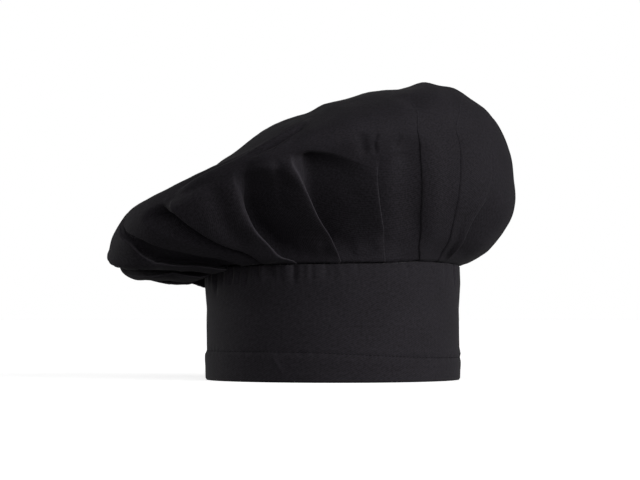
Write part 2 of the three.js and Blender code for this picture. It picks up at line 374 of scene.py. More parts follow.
# %% Ridges, hollows and creases
CREASES = [
    dict(name="crest_over_the_back", height=2.2, width=4.5,
         line=[(-130, 0.318), (-128.8, 0.367), (-125.6, 0.4), (-120.4, 0.425), (-114, 0.46),
               (-109, 0.505), (-103, 0.56), (-97, 0.61), (-92, 0.655)]),
    dict(name="hollow_behind_the_crest", height=-2.6, width=5,
         line=[(-135, 0.36), (-132, 0.41), (-127, 0.45), (-120, 0.475), (-113, 0.51),
               (-107, 0.555), (-101, 0.61), (-95, 0.66)]),
    dict(name="hollow_left_of_the_deep_pleat", height=-2.6, width=7,
         line=[(-117.6, 0.37), (-115.5, 0.25), (-117.2, 0.175), (-119.2, 0.085)]),
    dict(name="crease_in_the_deep_pleat", height=-1.6, width=2.4,
         line=[(-98.4, 0.275), (-100, 0.195), (-100.6, 0.15)]),
    dict(name="valley_left_of_the_side_pleat", height=-2.2, width=4.2,
         line=[(-98.8, 0.37), (-98.6, 0.31), (-97.5, 0.26), (-96.5, 0.22)]),
    dict(name="fine_fold_on_the_crest", height=1.5, width=2.4,
         line=[(-114.4, 0.475), (-108, 0.495), (-103.6, 0.537), (-99.2, 0.595), (-93.6, 0.667)]),
    dict(name="hollow_between_the_fine_folds", height=-1.3, width=2.6,
         line=[(-112, 0.437), (-107, 0.452), (-103, 0.487), (-99.2, 0.532), (-95, 0.6)]),
    dict(name="fine_fold_below_the_crest", height=1.1, width=2.4,
         line=[(-110, 0.4), (-106, 0.408), (-102.4, 0.435), (-99.2, 0.475), (-96.8, 0.54)]),
    dict(name="fullness_in_the_deep_pleat", height=1.8, width=6,
         line=[(-106, 0.04), (-100, 0.05), (-93, 0.05)]),
    dict(name="band_on_the_back_panel", height=1.6, width=5,
         line=[(-136, 0.38), (-130.6, 0.283), (-133.6, 0.193)]),
    dict(name="underside_edge", height=3.4, width=4.5,
         line=[(-149, 0.15), (-151.6, 0.17), (-156.4, 0.205), (-167.6, 0.253), (-175.6, 0.285), (-190, 0.3)]),
    dict(name="hollow_under_the_edge", height=-5, width=5,
         line=[(-153, 0.09), (-157.2, 0.113), (-163.6, 0.175), (-169.6, 0.217), (-176.8, 0.25),
               (-190, 0.265)]),
    dict(name="sharp_crease", height=-1.2, width=1.5,
         line=[(-71.6, 0.413), (-73, 0.365), (-72.6, 0.302)]),
    dict(name="sharp_short_crease", height=-1.0, width=1.5,
         line=[(-64.8, 0.395), (-66.4, 0.355), (-66.8, 0.323)]),
    dict(name="dent_beside_the_crease", height=-2.0, width=3.2,
         line=[(-77.4, 0.435), (-76, 0.36), (-75.2, 0.3)]),
    dict(name="dent_in_the_side", height=-1.2, width=7,
         line=[(-64.4, 0.32), (-65.2, 0.278), (-67.6, 0.198), (-68, 0.138)]),
    dict(name="foremost_line", height=-0.9, width=1.3,
         line=[(-26, 0.41), (-28.6, 0.34), (-30, 0.27), (-32.6, 0.215)]),
    dict(name="hollow_at_the_top_front", height=-1.8, width=7,
         line=[(-53, 0.6), (-55, 0.55), (-57, 0.5)]),
    dict(name="fullness_right_of_the_side_pleat", height=2, width=11,
         line=[(-69.5, 0.02), (-69, 0.2), (-68, 0.36)]),
    dict(name="hollow_before_the_next_pleat", height=-1.6, width=9,
         line=[(-57, 0.03), (-63, 0.2), (-63.6, 0.4)]),
    dict(name="fullness_right_of_that_pleat", height=1.4, width=9,
         line=[(-51, 0.05), (-55.4, 0.2), (-55.4, 0.42)]),
    dict(name="fullness_above_the_seam", height=1.6, width=7,
         line=[(-83, 0.03), (-76, 0.045), (-70, 0.06)]),
]
LINE_STEPS = 24
# A line's height grows from nothing over this part of it at either end.
LINE_ENDS = 0.22


def crease_lift(points):
    """How far each point moves outwards, in mm, for all the creases together."""
    lift = np.zeros(len(points))
    for crease in CREASES:
        angles, shares = np.array(crease["line"], float).T
        corner = np.linspace(0, 1, len(angles))
        along = np.linspace(0, 1, LINE_STEPS * (len(angles) - 1) + 1)
        line = smooth_crown(np.interp(along, corner, shares), np.interp(along, corner, angles))
        strength = smooth(np.minimum(along, 1 - along), 0, LINE_ENDS)
        distance = np.linalg.norm(points[:, None, :] - line[None, :, :], axis=2)
        near = np.argmin(distance, axis=1)
        least = distance[np.arange(len(points)), near]
        lift += crease["height"] * strength[near] * bump(least, crease["width"])
    return lift


print(len(CREASES), "ridges, hollows and creases")

# %% [markdown]
# Over the top, where no pleat reaches, the cloth lies in broad soft waves from side to side, each with
# its place along the hat and its height in mm. They bend forwards and fade towards the sides. The seam
# isn't level either: the crown's weight pulls it down behind and its fullness lifts it in front.

# %% The top's waves and the seam's rise and fall
TOP_WAVES = np.array([
    (-140, -0.5), (-124, -0.6), (-107, -1.6), (-97, -0.4), (-88, 1.0), (-76, 0.6), (-66, 2.8), (-56, 3.8),
    (-44, 3.0), (-32, 0.4), (-24, -0.8), (-18, 0.2), (-10, 2.3), (0, 1.0), (10, 0.7), (18, 1.1), (30, -0.3),
    (46, -2.3), (54, -0.9), (66, 2.1), (78, -0.4), (90, 0.2), (104, -2.4), (116, -2.9), (130, -2.0),
])
TOP_SHARES = (0.42, 0.56)
TOP_BEND = 0.0015
TOP_FADE = 0.75
TOP_SIDES = (25, 95)
SEAM_LIFT = dict(
    angles=(-180, -106, -66, -50, -25, 0, 60, 120, 180),
    lift=(-2.2, -0.7, 0.2, 2, 1.2, -0.2, 0.4, -1, -2.2),
)


def top_lift(points, shares):
    """How far the waves move each point up, in mm."""
    aside = abs(points[..., 1])
    place = np.clip(points[..., 0] - TOP_BEND * aside**2, TOP_WAVES[0, 0], TOP_WAVES[-1, 0])
    waves = curve_through(TOP_WAVES[:, 0], TOP_WAVES[:, 1:], place)[..., 0]
    return waves * smooth(shares, *TOP_SHARES) * (1 - TOP_FADE * smooth(aside, *TOP_SIDES))


def seam_lift(angle):
    """How far the seam lies above or below its nominal height, in mm."""
    return np.interp((np.asarray(angle) + 180) % 360 - 180, SEAM_LIFT["angles"], SEAM_LIFT["lift"])


print("the seam's lift at the back and at the front, mm:", seam_lift([180, 0]).round(1))

# %% [markdown]
# Real cloth is never quite smooth, so the same noise that a texture would use moves the points a
# little. A bump texture would be easier, but it would leave the outline smooth. The noise is read at
# the place on the crown without its pleats, so that the layers of a fold move together and never cut
# through each other. Close to the seam the pleats pull the cloth into fine upright wrinkles.

# %% Wrinkles
# The size of a wrinkle and its height, both in mm, and a seed
WRINKLES = [(38.0, 0.9, 3.7), (15.0, 0.45, 11.3), (7.0, 0.14, 23.9)]
PULL = dict(length=0.16, across=5.0, height=0.45, start=0.01, end=0.2, seed=7.1)


def noise_at(places):
    """Blender's own noise, from about -1 to 1, at each place of an array of threes."""
    return np.array([noise.noise(Vector(place)) for place in places])


def noise_on_face(across, up, seed):
    """Noise on a face, at places across and up it; each seed gives another pattern."""
    return noise_at(np.stack([across, up, np.full(len(across), seed)], -1))


def wrinkle_lift(places, share, angle):
    """Small heights in mm at each point; places are those on the crown without its pleats."""
    lift = np.zeros(len(places))
    for size, height, seed in WRINKLES:
        lift += height * noise_at(places / size + seed)
    around = np.hypot(places[:, 0], places[:, 1]) * np.radians(angle) / PULL["across"]
    pulls = noise_on_face(around, share / PULL["length"], PULL["seed"])
    return lift + PULL["height"] * pulls * (1 - smooth(share, PULL["start"], PULL["end"]))


print("wrinkles of", ", ".join(f"{size:.0f} mm" for size, _, _ in WRINKLES))

# %% [markdown]
# A weave lies straight in the flat cloth, so the mesh carries the flat cloth's coordinates as its UV
# map: each ring is a circle there. Low down, a column keeps the angle that it has along one well
# pleated row, with all that its folds take up. Higher up it follows its real angle, because the folds
# are gone there and the weave would look sheared.

# %% The flat cloth
CLOTH_RADIUS = 290.0
PLEATED_SHARE = 0.15
WEAVE_FOLLOWS = (0.15, 0.5)
# More rows where the folds are finest
ROW_SHARES = np.concatenate([
    np.linspace(0, 0.12, 22, endpoint=False),
    np.linspace(0.12, 0.46, 50, endpoint=False),
    np.linspace(0.46, 0.7, 22, endpoint=False),
    np.linspace(0.7, 0.975, 12),
])


def flat_angles(angles, heights):
    """Where each column lies in the flat cloth, in degrees, from its place along one pleated row."""
    row = np.argmin(abs(ROW_SHARES - PLEATED_SHARE))
    share = np.full(angles.shape[1], ROW_SHARES[row])
    line = smooth_crown(share, angles[row]) + outward(share, angles[row]) * heights[row][:, None]
    steps = np.linalg.norm(np.roll(line, -1, axis=0) - line, axis=1)
    turned = 360 * (np.cumsum(steps) - steps) / steps.sum()
    return turned + np.mean(angles[row] - turned)


def flat_places(shares, angles, flat_angle):
    """The flat cloth's coordinates in mm, with 0, 0 at its middle."""
    radius = CLOTH_RADIUS * (1 - shares)
    turn = np.radians(flat_angle + (angles - flat_angle) * smooth(shares, *WEAVE_FOLLOWS))
    return np.stack([radius * np.cos(turn), radius * np.sin(turn)], -1)


print(len(ROW_SHARES), "rows from the seam to the middle")

# %% [markdown]
# Now all of it comes together. The rows give the folds, and above them the columns spread evenly. Then
# the creases and wrinkles move the points outwards, and the waves and the seam move them up or down.

# %% The crown's points
UNPLEATED = (0.58, 0.92)
SEAM_STILL = 0.03
SEAM_REACH = 0.08


def crown_points():
    """All rows' points in mm, the flat cloth's places, the angles, and the nearness to folded edges."""
    angles, heights, edges = np.moveaxis(np.array([crown_row(share) for share in ROW_SHARES]), -1, 0)
    shares = np.repeat(ROW_SHARES[:, None], angles.shape[1], axis=1)
    flat_angle = flat_angles(angles, heights)
    angles += (flat_angle - angles) * smooth(shares, *UNPLEATED)
    ground = smooth_crown(shares, angles)
    points = ground + outward(shares, angles) * heights[..., None]
    places = ground.reshape(-1, 3)
    lift = crease_lift(places) + wrinkle_lift(places, shares.ravel(), angles.ravel())
    lift = lift.reshape(shares.shape) * smooth(shares, 0, SEAM_STILL)
    points += outward(shares, angles) * lift[..., None]
    points[..., 2] += top_lift(points, shares)
    points[..., 2] += seam_lift(angles) * (1 - smooth(shares, 0, SEAM_REACH))
    return points, flat_places(shares, angles, flat_angle), angles, edges


crown_rows, crown_flat, crown_angles, crown_edges = crown_points()
print("crown rows and columns:", crown_rows.shape[:2])

# %% [markdown]
# Both cloths are nets of quads from rows of points, so two helpers make every piece: one gives the
# faces of a net, and the other makes the mesh object with its UV map.

# %% From rows of points to a mesh
def net_faces(rows, columns):
    """Quads of a net whose rows are closed rings, running anticlockwise from above."""
    a = np.arange(rows - 1)[:, None] * columns + np.arange(columns)[None, :]
    b = np.arange(rows - 1)[:, None] * columns + (np.arange(columns)[None, :] + 1) % columns
    return np.stack([a, b, b + columns, a + columns], -1).reshape(-1, 4).tolist()


def new_piece(name, points, faces, flat):
    """A smooth-shaded mesh object from points in mm, with the flat cloth as its UV map."""
    mesh = bpy.data.meshes.new(name)
    mesh.from_pydata(in_metres(points).tolist(), [], faces)
    uv = mesh.uv_layers.new(name="cloth")
    corners = np.zeros(len(mesh.loops), int)
    mesh.loops.foreach_get("vertex_index", corners)
    uv.data.foreach_set("uv", (np.array(flat)[corners] * MM).astype(np.float32).ravel())
    mesh.polygons.foreach_set("use_smooth", np.ones(len(mesh.polygons), bool))
    piece = bpy.data.objects.new(name, mesh)
    bpy.context.scene.collection.objects.link(piece)
    print(name, "has", len(mesh.polygons), "faces")
    return piece


# %% [markdown]
# The cloth doesn't end at the seam: its allowance goes on inside the band, where it shows from below,
# with its cut edge lowest. Solidify gives the single layer its thickness, inwards, so that the outside
# stays where it was drawn. An attribute marks where the finish paints the folded edges paler: partly
# as rubbed cotton, partly as a painted highlight along the crests.

# %% The crown
CLOTH_THICKNESS = 0.6
# The height over the band's upper edge and the inset of each row, in mm, from the cut edge up
ALLOWANCE = [(-10.0, 4.2), (-4.0, 4.2), (0.9, 3.4)]


def seam_allowance(angles):
    """The rows of points inside the band."""
    turn = np.radians(angles)
    rows = []
    for above, inset in ALLOWANCE:
        along = (HEAD_HALF_LENGTH - inset) * np.cos(turn)
        across = (HEAD_HALF_WIDTH - inset) * np.sin(turn)
        rows.append(np.stack([along, across, BAND_HEIGHT + above + seam_lift(angles)], -1))
    return np.array(rows)


def make_crown(points, flat, angles, edges):
    """The crown's object, closed at its pole by a ring of triangles."""
    columns = points.shape[1]
    rows = np.concatenate([seam_allowance(angles[0]), points])
    flat_rows = np.concatenate([np.repeat(flat[:1], len(ALLOWANCE), axis=0), flat])
    pole = len(rows) * columns
    ring = pole - columns + np.arange(columns)
    faces = net_faces(len(rows), columns)
    faces += [[int(a), int(b), pole] for a, b in zip(ring, np.roll(ring, -1))]
    all_points = np.vstack([rows.reshape(-1, 3), rows[-1].mean(0)])
    piece = new_piece("crown_cloth", all_points, faces, np.vstack([flat_rows.reshape(-1, 2), [0, 0]]))
    # The folded edges are painted paler: partly rubbed cotton, partly a painted highlight on the crests.
    rubbed_and_lit = piece.data.attributes.new("rubbed_and_lit_edge", "FLOAT", "POINT")
    edge_paint = np.concatenate([np.zeros(len(ALLOWANCE) * columns), edges.ravel(), [0]])
    rubbed_and_lit.data.foreach_set("value", edge_paint.astype(np.float32))
    wall = piece.modifiers.new("cloth", "SOLIDIFY")
    wall.thickness = CLOTH_THICKNESS * MM
    wall.offset = -1
    return piece


crown = make_crown(crown_rows, crown_flat, crown_angles, crown_edges)

# %% [markdown]
# The band is starched twill, sewn double. It keeps its oval, but it isn't perfect: its middle is
# drawn in by a millimetre, it stands a little fuller behind, and the hem, turned up inside, makes a
# slight step below its stitch line, which sinks in and lies a little lower towards the front. A
# plain tube with a texture would lose all of that at its outline, so each is a small height added to
# the outer face.

# %% The band's shape
HALF_ROUND = 91.7
BAND_FACE = dict(
    height=(0, 1.5, 12, 20, 25, 54, 74, 83, 86.3, 86.9, 87),
    out=(-0.9, 0, 0.2, 0.4, -0.6, -1.1, 0.4, 0.1, 0, -0.7, -3.2),
)
HEM_HEIGHT = 22.4
HEM_DROP = dict(height=5.2, back_x=-45, front_x=110)
HEM_SINK = dict(height=-0.7, width=1.9)
HEM_FULL = dict(height=0.3, width=4.0, below=6)
FULL_BEHIND = dict(height=0.8, from_turn=0.2, from_height=24, full_height=50)
SEAM_MOVES_FROM = 50


def hem_height(x):
    """The height of the stitch line, in mm, at a place along the hat."""
    return HEM_HEIGHT - HEM_DROP["height"] * smooth(x, HEM_DROP["back_x"], HEM_DROP["front_x"])


def on_oval(angle, out, height):
    """Points at a distance outside the band's nominal oval."""
    turn = np.radians(angle)
    lift = seam_lift(angle) * smooth(height, SEAM_MOVES_FROM, BAND_HEIGHT)
    return np.stack([
        (HEAD_HALF_LENGTH + out) * np.cos(turn), (HEAD_HALF_WIDTH + out) * np.sin(turn), height + lift,
    ], -1)


def band_form(angle, height, hem):
    """The band's own form, in mm outside its nominal oval."""
    out = np.interp(height, BAND_FACE["height"], BAND_FACE["out"])
    out = out + HEM_SINK["height"] * bump(height - hem, HEM_SINK["width"])
    out = out + HEM_FULL["height"] * bump(height - (hem - HEM_FULL["below"]), HEM_FULL["width"])
    behind = smooth(-np.cos(np.radians(angle)), FULL_BEHIND["from_turn"], 1)
    raised = smooth(height, FULL_BEHIND["from_height"], FULL_BEHIND["full_height"])
    return out + FULL_BEHIND["height"] * behind * raised


print("the hem's stitch line at the back and at the front, mm:", hem_height(np.array([-98, 98])).round(1))

# %% [markdown]
# Sewing leaves its own marks. The pleats' seam puckers the band's upper part, most where the pleats
# are deepest, and pulls narrow slits down from the edge. The hem's thread gathers the cloth into tiny
# puckers, one sharp crease slants over the hem, and all the cloth is slightly slack.

# %% The band's puckers, slits and slack
PUCKERS = dict(angle=-130, spread=40, height=2.0, elsewhere=0.12, across=4.2, tall=40.0, down=26.0, seed=2.3)
PUCKERS_FULL_FROM = 3
HEM_PUCKERS = dict(height=0.35, width=3.5, across=3.2, tall=9, seed=4.7)
HEM_CREASE = dict(
    angles=(-118.2, -112.8), heights=(22.0, 7.0), height=0.8, width=1.5, starts=(4, 10), ends=(18, 24),
)
# The angle of each slit, its length down from the edge, its depth and its half width, in mm
SLITS = [
    (-154, 26, 2.2, 2.4), (-147.5, 16, 1.4, 1.6), (-141, 18, 1.6, 1.8), (-131.5, 20, 1.8, 2.2),
    (-125, 14, 1.4, 1.6), (-117.5, 14, 1.3, 1.8), (-107.2, 18, 1.8, 1.3), (-97, 10, 0.5, 1.6),
    (-80, 12, 0.6, 1.3), (-57, 7, 0.9, 2.6), (-31, 18, 1.0, 1.6), (-21, 20, 1.1, 1.6),
]
SLIT_FULL_PART = 0.4
SLACK = [(70.0, 0.8, 5.9), (22.0, 0.22, 8.3)]


def pucker_noise(around, height, puckers):
    """Ripples that are as wide and as tall as the table says, in mm."""
    return noise_on_face(around / puckers["across"], height / puckers["tall"], puckers["seed"])


def seam_puckers(angle, height, around):
    near = bump(angle - PUCKERS["angle"], PUCKERS["spread"])
    below_seam = smooth(height, BAND_HEIGHT - PUCKERS["down"], BAND_HEIGHT - PUCKERS_FULL_FROM)
    ripple = pucker_noise(around, height, PUCKERS)
    return PUCKERS["height"] * (PUCKERS["elsewhere"] + near) * ripple * below_seam**2


def hem_puckers(height, around, hem):
    stitched = pucker_noise(around, height, HEM_PUCKERS)
    return HEM_PUCKERS["height"] * stitched * bump(height - hem, HEM_PUCKERS["width"])


def hem_crease(angle, height):
    levels = [-level for level in HEM_CREASE["heights"]]
    crease_angle = np.interp(-height, levels, HEM_CREASE["angles"])
    crease = bump(HALF_ROUND * np.radians(angle - crease_angle), HEM_CREASE["width"])
    starts, ends = smooth(height, *HEM_CREASE["starts"]), smooth(height, *HEM_CREASE["ends"])
    return HEM_CREASE["height"] * crease * starts * (1 - ends)


def band_out(angle, height):
    """How far the band's outer face stands out from its nominal oval, in mm."""
    hem = hem_height(HEAD_HALF_LENGTH * np.cos(np.radians(angle)))
    around = HALF_ROUND * np.radians(angle)
    out = band_form(angle, height, hem)
    places = on_oval(angle, 0, height)
    for size, strength, seed in SLACK:
        out = out + strength * noise_at(places / size + seed)
    out = out + seam_puckers(angle, height, around)
    out = out + hem_puckers(height, around, hem)
    out = out + hem_crease(angle, height)
    for slit_angle, length, depth, width in SLITS:
        across = bump(HALF_ROUND * np.radians(angle - slit_angle), width)
        full_from = BAND_HEIGHT - SLIT_FULL_PART * length
        out = out - depth * across * smooth(height, BAND_HEIGHT - length, full_from)
    return out


print(len(SLITS), "slits below the pleats' seam")

# %% [markdown]
# The band's mesh is one closed net: up the outer face, over the upper edge, down the inner face and
# round the rim. Rows lie closest where the form changes most, at the hem and at the seam.

# %% The band
BAND_COLUMNS = 480
BAND_ANGLES = np.linspace(-180, 180, BAND_COLUMNS, endpoint=False)
OUTER_HEIGHTS = np.concatenate([
    np.linspace(0, 2, 5, endpoint=False), np.linspace(2, 28, 36, endpoint=False),
    np.linspace(28, 60, 12, endpoint=False), np.linspace(60, 83, 16, endpoint=False),
    [83, 84, 85, 86, 86.3, 86.6, 86.9, 87],
])
BAND_WALL = 1.6
HEM_WALL = 2.4
# The height and the inset of the inner face's rows, from the seam down; the hem is thicker
INNER_ROWS = [
    (86.8, 3.2 + BAND_WALL), (77, 1.6 + BAND_WALL), (50, 1.1 + BAND_WALL), (24, 0.9 + BAND_WALL),
    (22, HEM_WALL), (1.2, HEM_WALL), (0, HEM_WALL - 0.6),
]


def make_band():
    rows = []
    for height in OUTER_HEIGHTS:
        rows.append(on_oval(BAND_ANGLES, band_out(BAND_ANGLES, np.full(BAND_COLUMNS, height)), height))
    for height, inset in INNER_ROWS:
        rows.append(on_oval(BAND_ANGLES, -inset, height))
    points = np.array(rows)
    count = len(rows) * BAND_COLUMNS
    faces = [[index % count for index in face] for face in net_faces(len(rows) + 1, BAND_COLUMNS)]
    around = np.tile(HALF_ROUND * np.radians(BAND_ANGLES), (len(rows), 1))
    flat = np.stack([around, points[..., 2]], -1)
    return new_piece("band_cloth", points.reshape(-1, 3), faces, flat.reshape(-1, 2))


band = make_band()

# %% [markdown]
# Materials and Geometry Nodes are both trees of nodes. One small function adds a node, with its
# settings and its links, so that a tree reads like a list of its nodes. Colours are given as on a
# screen, in sRGB, and shaders want them linear.

# %% Nodes, colours and empty materials
# A Mix or Math node has several sockets of the same name, so these are given by number.
FACTOR, FLOAT_A, FLOAT_B, COLOUR_A, COLOUR_B = 0, 2, 3, 6, 7
FLOAT_RESULT, COLOUR_RESULT = 0, 2
MATH_A, MATH_B = 0, 1


def add_node(tree, kind, settings=None, inputs=None):
    """Adds a node, sets its own settings, and sets or links its inputs by name or number."""
    node = tree.nodes.new(kind)
    for key, value in (settings or {}).items():
        setattr(node, key, value)
    for key, value in (inputs or {}).items():
        socket = node.inputs[key]
        if isinstance(value, bpy.types.NodeSocket):
            tree.links.new(value, socket)
        else:
            socket.default_value = value
    return node


def linear(hex_colour):
    """An sRGB hex colour as the linear RGBA that shaders read."""
    parts = [int(hex_colour[index:index + 2], 16) / 255 for index in (1, 3, 5)]
    light = [part / 12.92 if part <= 0.04045 else ((part + 0.055) / 1.055) ** 2.4 for part in parts]
    return (*light, 1.0)


def empty_material(name):
    material = bpy.data.materials.new(name)
    material.use_nodes = True
    material.node_tree.nodes.clear()
    return material


print("mid grey on a screen, as linear light:", round(linear("#808080")[0], 3))

# %% [markdown]
# The cloth is black cotton twill: dyed yarn woven so that fine ribs run across it at an angle. Cotton
# is matt, with short fibres that catch the light at grazing angles, which sheen gives. The ribs of
# such cloth are about 0.5 mm apart. They are drawn at 1.4 mm here, as a finer rib wouldn't show, and
# the yarn's thick and thin places, the slubs, which break the ribs up, are drawn as coarse. An image
# of cloth would do too, but nodes have no resolution and no seam, and read the flat cloth's UV map.

# %% The weave
RIB_SPACING = 1.4
RIB_ANGLE = 63.0
RIB_WANDER = 2.5
SLUB_SIZE = 2.0
SLUB_PART = 0.78
# At scale 1, a wave texture's bands repeat every 2 pi / 20 of a unit.
WAVE_REPEAT = 2 * math.pi / 20


def twill_weave(tree, cloth):
    """The weave's light and dark, from 0 to 1: ribs at an angle, broken up by slubs."""
    turned = add_node(tree, "ShaderNodeMapping", inputs={
        "Vector": cloth, "Rotation": (0, 0, math.radians(RIB_ANGLE)),
    })
    ribs = add_node(tree, "ShaderNodeTexWave", {"wave_type": "BANDS", "bands_direction": "X"}, {
        "Vector": turned.outputs["Vector"], "Scale": WAVE_REPEAT / (RIB_SPACING * MM),
        "Distortion": RIB_WANDER, "Detail": 2.0, "Detail Scale": 1.5,
    })
    slubs = add_node(tree, "ShaderNodeTexNoise", inputs={
        "Vector": cloth, "Scale": 1 / (SLUB_SIZE * MM), "Detail": 1.5, "Roughness": 0.6,
    })
    weave = add_node(tree, "ShaderNodeMix", {"data_type": "FLOAT"}, {
        FACTOR: SLUB_PART, FLOAT_A: ribs.outputs["Fac"], FLOAT_B: slubs.outputs["Fac"],
    })
    return weave.outputs[FLOAT_RESULT]


# %% [markdown]
# The dye isn't quite even, so soft patches lie over the weave. Folded edges are painted a little paler,
# as rubbed cotton and as a painted highlight along their crests. Starch makes the band's weave lie
# crisp and even, and presses its relief flat. The crown's cloth is softer, with a deeper relief.

# %% Black cotton twill
PATCH_SIZE = 30.0
PATCH_PART = 0.3
# Folded edges are painted paler in this colour: partly wear, partly a painted highlight on the crests.
EDGE_WEAR_AND_HIGHLIGHT = 0.5
RUBBED_AND_LIT_COLOUR = "#4c494f"
RELIEF_STRENGTH = 0.8
COTTON = {"Roughness": 0.85, "Sheen Roughness": 0.4, "Specular IOR Level": 0.2}
TWILLS = {
    "starched_black_twill": dict(dark="#0f0c10", light="#2d2a30", evenness=0.28, relief=0.08, sheen=0.09),
    "soft_black_twill": dict(dark="#0f0c10", light="#2a272d", evenness=0.16, relief=0.14, sheen=0.03),
}


def twill_colour(tree, cloth, weave, look):
    """The dyed yarn's colour with patches, painted paler on folded edges as wear and as a painted highlight.
    """
    patches = add_node(tree, "ShaderNodeTexNoise", inputs={
        "Vector": cloth, "Scale": 1 / (PATCH_SIZE * MM), "Detail": 3.0,
    })
    strong = add_node(tree, "ShaderNodeMapRange", inputs={
        "Value": weave, "From Min": 0.5 - look["evenness"], "From Max": 0.5 + look["evenness"],
    })
    mixed = add_node(tree, "ShaderNodeMix", {"data_type": "FLOAT"}, {
        FACTOR: PATCH_PART, FLOAT_A: strong.outputs["Result"], FLOAT_B: patches.outputs["Fac"],
    })
    tone = add_node(tree, "ShaderNodeMix", {"data_type": "RGBA"}, {
        FACTOR: mixed.outputs[FLOAT_RESULT], COLOUR_A: linear(look["dark"]), COLOUR_B: linear(look["light"]),
    })
    # Paler on folded edges: partly rubbed cotton, partly a painted highlight along the crests.
    edge = add_node(tree, "ShaderNodeAttribute", {"attribute_name": "rubbed_and_lit_edge"})
    paler_by = add_node(tree, "ShaderNodeMath", {"operation": "MULTIPLY"}, {
        MATH_A: edge.outputs["Fac"], MATH_B: EDGE_WEAR_AND_HIGHLIGHT,
    })
    rubbed_and_lit = add_node(tree, "ShaderNodeMix", {"data_type": "RGBA"}, {
        FACTOR: paler_by.outputs[0], COLOUR_A: tone.outputs[COLOUR_RESULT], COLOUR_B: linear(RUBBED_AND_LIT_COLOUR),
    })
    return rubbed_and_lit.outputs[COLOUR_RESULT]


def twill(name):
    """One of the finishes in TWILLS."""
    look = TWILLS[name]
    material = empty_material(name)
    tree = material.node_tree
    cloth = add_node(tree, "ShaderNodeUVMap", {"uv_map": "cloth"}).outputs["UV"]
    weave = twill_weave(tree, cloth)
    relief = add_node(tree, "ShaderNodeBump", inputs={
        "Strength": RELIEF_STRENGTH, "Distance": look["relief"] * MM, "Height": weave,
    })
    surface = add_node(tree, "ShaderNodeBsdfPrincipled", inputs={
        **COTTON, "Base Color": twill_colour(tree, cloth, weave, look), "Sheen Weight": look["sheen"],
        "Normal": relief.outputs["Normal"],
    })
    add_node(tree, "ShaderNodeOutputMaterial", inputs={"Surface": surface.outputs["BSDF"]})
    print(name, "has", len(tree.nodes), "nodes")
    return material


band.data.materials.append(twill("starched_black_twill"))
crown.data.materials.append(twill("soft_black_twill"))

# %% [markdown]
# The hem is sewn with spun black polyester thread. It is a little smoother than the cloth, and its
# short fibres make its black uneven, at about 0.3 mm. Stitches this small need no UV map of their own,
# so the pattern reads Object coordinates.

# %% Spun black thread
FIBRE_SIZE = 0.3


def sewing_thread():
    material = empty_material("spun_black_thread")
    tree = material.node_tree
    place = add_node(tree, "ShaderNodeTexCoord").outputs["Object"]
    fibres = add_node(tree, "ShaderNodeTexNoise", inputs={
        "Vector": place, "Scale": 1 / (FIBRE_SIZE * MM), "Detail": 2.0,
    })
    tone = add_node(tree, "ShaderNodeMix", {"data_type": "RGBA"}, {
        FACTOR: fibres.outputs["Fac"], COLOUR_A: linear("#08070a"), COLOUR_B: linear("#151317"),
    })
    surface = add_node(tree, "ShaderNodeBsdfPrincipled", inputs={
        "Base Color": tone.outputs[COLOUR_RESULT], "Roughness": 0.7, "Specular IOR Level": 0.1,
    })
    add_node(tree, "ShaderNodeOutputMaterial", inputs={"Surface": surface.outputs["BSDF"]})
    print(material.name, "has", len(tree.nodes), "nodes")
    return material


thread = sewing_thread()

# %% [markdown]
# The hem's stitches repeat along a line that follows a rule, so Geometry Nodes makes them: an oval
# curve at the stitch line, cut into equal steps, with one short thread on each. An array along a
# curve would bend each stitch. Realize Instances turns the copies into real mesh, because an export
# would drop them.

# %% Hem stitches as a node tree
THREAD_SIDES = dict(Segments=8, Rings=6)


def stitch_tree():
    """A tree that turns a closed line of edges into stitches, with their sizes as its inputs."""
    tree = bpy.data.node_groups.new("hem_stitches", "GeometryNodeTree")
    tree.interface.new_socket("Geometry", in_out="INPUT", socket_type="NodeSocketGeometry")
    for name in ("Pitch", "Length", "Radius"):
        tree.interface.new_socket(name, in_out="INPUT", socket_type="NodeSocketFloat")
    tree.interface.new_socket("Geometry", in_out="OUTPUT", socket_type="NodeSocketGeometry")
    given = add_node(tree, "NodeGroupInput").outputs
    line = add_node(tree, "GeometryNodeMeshToCurve", inputs={"Mesh": given["Geometry"]})
    spots = add_node(tree, "GeometryNodeCurveToPoints", {"mode": "LENGTH"}, {
        "Curve": line.outputs["Curve"], "Length": given["Pitch"],
    })
    turned = add_node(tree, "FunctionNodeAlignRotationToVector", {"axis": "Z"}, {
        "Vector": spots.outputs["Tangent"],
    })
    rod = add_node(tree, "GeometryNodeMeshUVSphere", inputs={**THREAD_SIDES, "Radius": given["Radius"]})
    stretch = add_node(tree, "ShaderNodeMath", {"operation": "DIVIDE"}, {
        MATH_A: given["Length"], MATH_B: given["Radius"],
    })
    half = add_node(tree, "ShaderNodeMath", {"operation": "MULTIPLY"}, {
        MATH_A: stretch.outputs[0], MATH_B: 0.5,
    })
    size = add_node(tree, "ShaderNodeCombineXYZ", inputs={"X": 1.0, "Y": 1.0, "Z": half.outputs[0]})
    copies = add_node(tree, "GeometryNodeInstanceOnPoints", inputs={
        "Points": spots.outputs["Points"], "Instance": rod.outputs["Mesh"],
        "Rotation": turned.outputs["Rotation"], "Scale": size.outputs["Vector"],
    })
    real = add_node(tree, "GeometryNodeRealizeInstances", inputs={"Geometry": copies.outputs["Instances"]})
    painted = add_node(tree, "GeometryNodeSetMaterial", inputs={
        "Geometry": real.outputs["Geometry"], "Material": thread,
    })
    add_node(tree, "NodeGroupOutput", inputs={"Geometry": painted.outputs["Geometry"]})
    return tree


# %% [markdown]
# The tree runs as a modifier on a guide, a bare line of edges at the hem. Its inputs are set by their
# identifiers, because names can repeat. The result is then copied as a plain mesh of its own, and the
# guide is removed.

# %% Hem stitches as a mesh
STITCH_SIZES = dict(Pitch=3.0, Length=2.3, Radius=0.26)
STITCH_PROUD = 0.05


